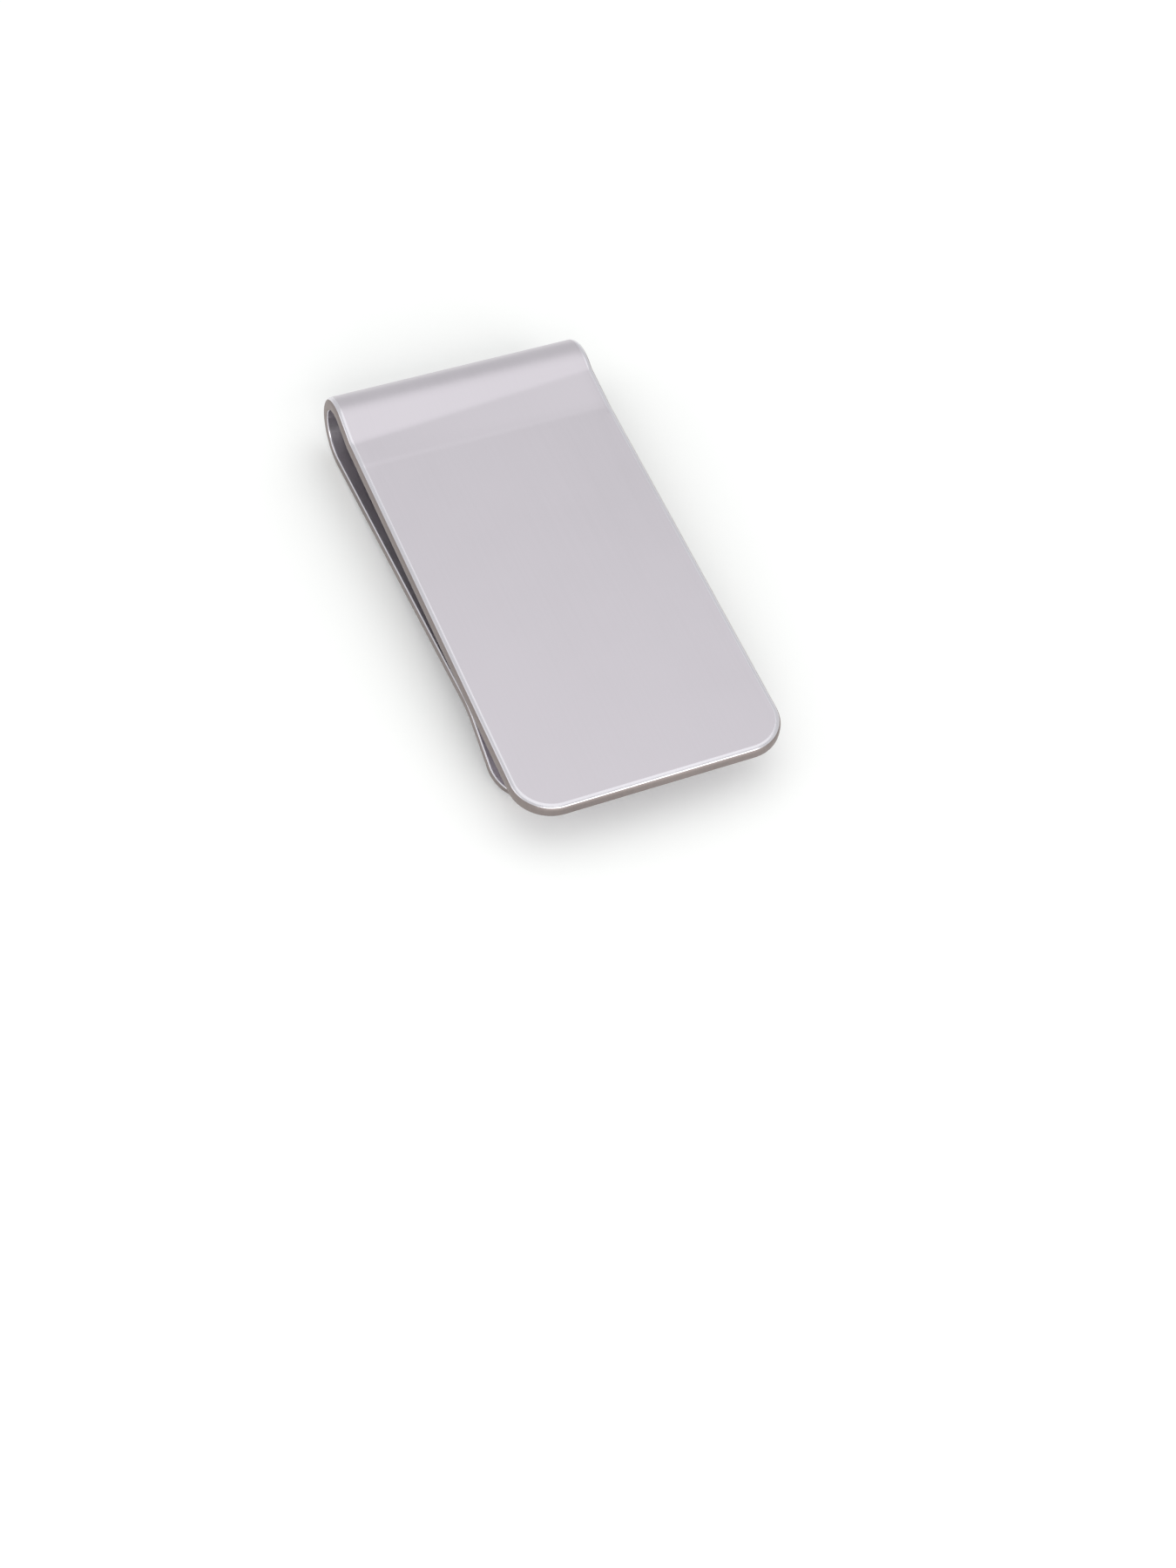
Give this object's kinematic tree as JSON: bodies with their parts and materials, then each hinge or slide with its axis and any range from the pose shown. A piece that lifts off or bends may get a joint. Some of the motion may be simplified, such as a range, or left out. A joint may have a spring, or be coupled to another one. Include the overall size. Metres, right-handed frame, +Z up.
{
  "type": "money clip",
  "caption": "Sprung metal money clip: a flat front leg with rounded corners, a round bend, and a ridged back leg that grips folded notes.",
  "frame": {"origin": "on the table under the middle of the clip's box, with the clip lying on its back leg", "axes": "+X across the strip, +Y along the legs from the mouth to the bend, +Z up from the back leg to the front leg"},
  "size_m": [0.0254, 0.052, 0.0076],
  "materials": {
    "satin_steel": "fine satin brushing along the strip, brighter broken edges, darker sheared edges"
  },
  "bodies": {
    "back": {"heel": "satin_steel", "back_leg": "satin_steel", "grip_ridge": "satin_steel", "lead_in": "satin_steel"},
    "bend": {"spring_bend": "satin_steel", "shoulder": "satin_steel"},
    "front": {"front_leg": "satin_steel"}
  },
  "joints": [
    {"name": "bend_flex", "type": "hinge", "parent": "back", "child": "bend", "pos_m": [0, 0.02299, 0.00008], "axis": [-1, 0, 0], "range_deg": [0, 6], "stiffness_Nm_per_rad": 72},
    {"name": "front_leg_flex", "type": "hinge", "parent": "bend", "child": "front", "pos_m": [0, 0.01635, 0.00652], "axis": [-1, 0, 0], "range_deg": [0, 6]}
  ],
  "couplings": [
    {"joint": "front_leg_flex", "follows": "bend_flex", "ratio": 1}
  ]
}
